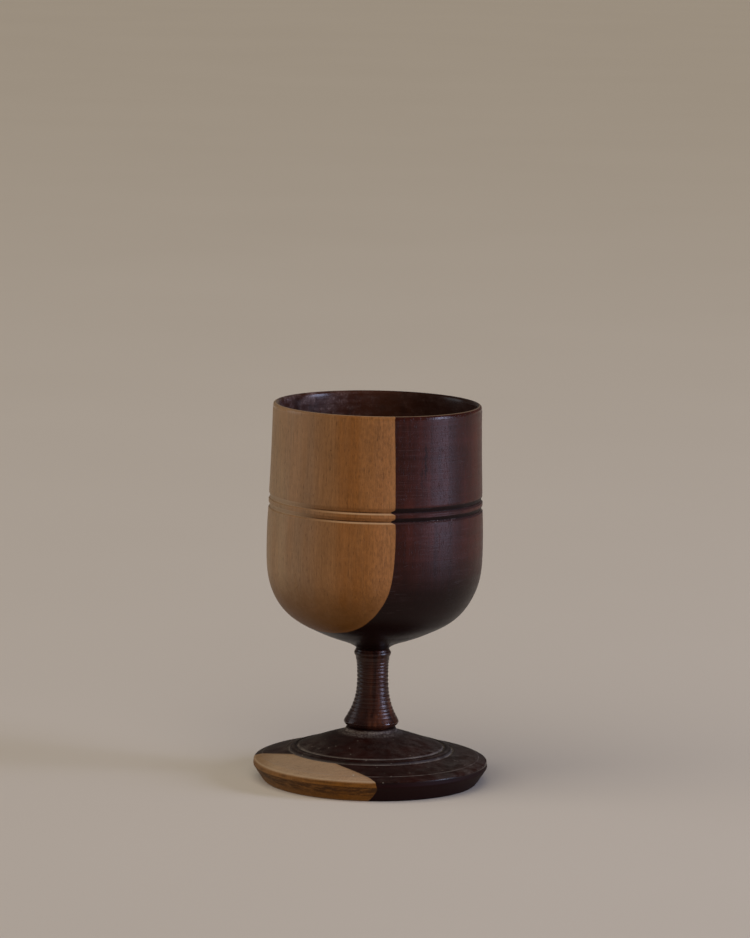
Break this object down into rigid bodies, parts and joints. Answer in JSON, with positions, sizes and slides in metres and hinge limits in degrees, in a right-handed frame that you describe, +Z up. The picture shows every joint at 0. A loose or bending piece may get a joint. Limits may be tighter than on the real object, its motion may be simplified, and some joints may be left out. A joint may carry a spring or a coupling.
{
  "type": "communion chalice",
  "caption": "Turned two-tone wooden communion chalice: deep rounded cup with a beaded girdle line, slim ringed stem and low spreading foot.",
  "frame": {"origin": "centre of the flat underside of the foot, on the surface the chalice stands on", "axes": "+Z up along the axis of turning, from the foot to the rim; +X to the viewer's right and -Y towards the viewer, with the pale sapwood towards -X and -Y"},
  "size_m": [0.0848, 0.0848, 0.1376],
  "materials": {
    "bowl_wood": "waxed two-tone wood, pale sapwood on one side and dark heartwood on the other",
    "stem_wood": "polished dark heartwood",
    "foot_wood": "dusty, worn two-tone wood"
  },
  "bodies": {
    "root": {"bowl": "bowl_wood", "stem": "stem_wood", "foot": "foot_wood"}
  },
  "joints": []
}
